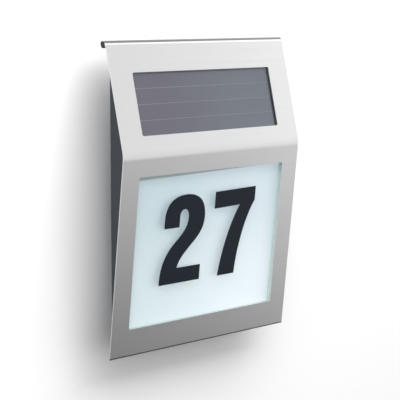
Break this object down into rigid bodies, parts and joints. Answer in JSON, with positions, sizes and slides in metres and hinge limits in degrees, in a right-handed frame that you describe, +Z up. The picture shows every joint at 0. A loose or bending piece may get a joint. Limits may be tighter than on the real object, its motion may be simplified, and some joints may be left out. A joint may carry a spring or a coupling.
{
  "type": "illuminated house number sign",
  "caption": "Wall-mounted solar house number sign: a bent steel front with a solar window above a lit number window, hinged over a slim rear housing with its battery, board and switch.",
  "frame": {"origin": "on the wall plane, midway between the two wall screws", "axes": "+X along the wall to the viewer's right, +Y into the wall, +Z up"},
  "size_m": [0.2, 0.0274, 0.2493],
  "materials": {
    "steel_front": "brushed along its width",
    "screw_steel": "plain pan-head steel",
    "black_rail": "smooth black rod",
    "housing_black": "fine spark-eroded black",
    "module_glass": "clear glass",
    "solar_cell": "grey-purple thin-film cell",
    "busbar": "printed metal strip",
    "module_back": "dark back layer",
    "foam_tape": "closed-cell foam tape",
    "terminal_black": "moulded block",
    "clear_pane": "clear acrylic",
    "white_tape": "white closed-cell foam tape",
    "digit_grey": "matt anthracite",
    "white_box": "white, satin",
    "board_steel": "zinc-plated steel",
    "opal": "opal diffuser, lit from behind",
    "reflector_white": "white film",
    "led_board_white": "white solder mask",
    "led": "phosphor under clear resin",
    "battery_sleeve": "printed shrink sleeve, plain green",
    "nickel": "nickel plate",
    "board_green": "green solder mask",
    "socket_white": "moulded nylon",
    "chip_black": "moulded epoxy",
    "ferrite": "dark ferrite",
    "capacitor_can": "plain can",
    "lead_red": "PVC-insulated lead",
    "lead_white": "PVC-insulated lead",
    "lead_blue": "PVC-insulated lead",
    "switch_black": "glossy-edged moulding",
    "knob_grey": "ribbed knob"
  },
  "bodies": {
    "housing": {"cover_screws": "screw_steel", "hook_rail": "black_rail", "rear_housing": "housing_black", "solar_glass": "module_glass", "solar_cell_1": "solar_cell", "solar_cell_2": "solar_cell", "solar_cell_3": "solar_cell", "solar_cell_4": "solar_cell", "solar_busbars": "busbar", "solar_back": "module_back", "solar_tape": "foam_tape", "solar_terminal": "terminal_black", "number_pane": "clear_pane", "number_tape": "white_tape", "digit_2": "digit_grey", "digit_7": "digit_grey", "light_box": "white_box", "light_box_screws": "board_steel", "diffuser": "opal", "reflector": "reflector_white", "led_board": "led_board_white", "led_board_screws": "board_steel", "leds": "led", "service_deck": "housing_black", "deck_screws": "board_steel", "battery_tray": "housing_black", "battery_can": "battery_sleeve", "battery_cap": "nickel", "contact_plus": "nickel", "contact_minus": "nickel", "control_board": "board_green", "control_board_screws": "board_steel", "lead_sockets": "socket_white", "control_chip": "chip_black", "inductor": "ferrite", "capacitor": "capacitor_can", "leads_battery": "lead_red", "leads_light": "lead_white", "leads_solar": "lead_blue", "leads_switch": "lead_white", "switch_body": "switch_black", "switch_screws": "screw_steel"},
    "cover": {"front_plate": "steel_front", "cover_tabs": "steel_front"},
    "hatch": {"battery_hatch": "housing_black"},
    "knob": {"switch_knob": "knob_grey"}
  },
  "joints": [
    {"name": "cover_hinge", "type": "hinge", "parent": "housing", "child": "cover", "pos_m": [0, -0.00441, 0.08602], "axis": [-1, 0, 0], "range_deg": [0, 75]},
    {"name": "hatch_slide", "type": "slide", "parent": "housing", "child": "hatch", "axis": [1, 0, 0], "range_m": [0, 0.061]},
    {"name": "switch_slide", "type": "slide", "parent": "housing", "child": "knob", "axis": [0, 0, -1], "range_m": [0, 0.004]}
  ]
}
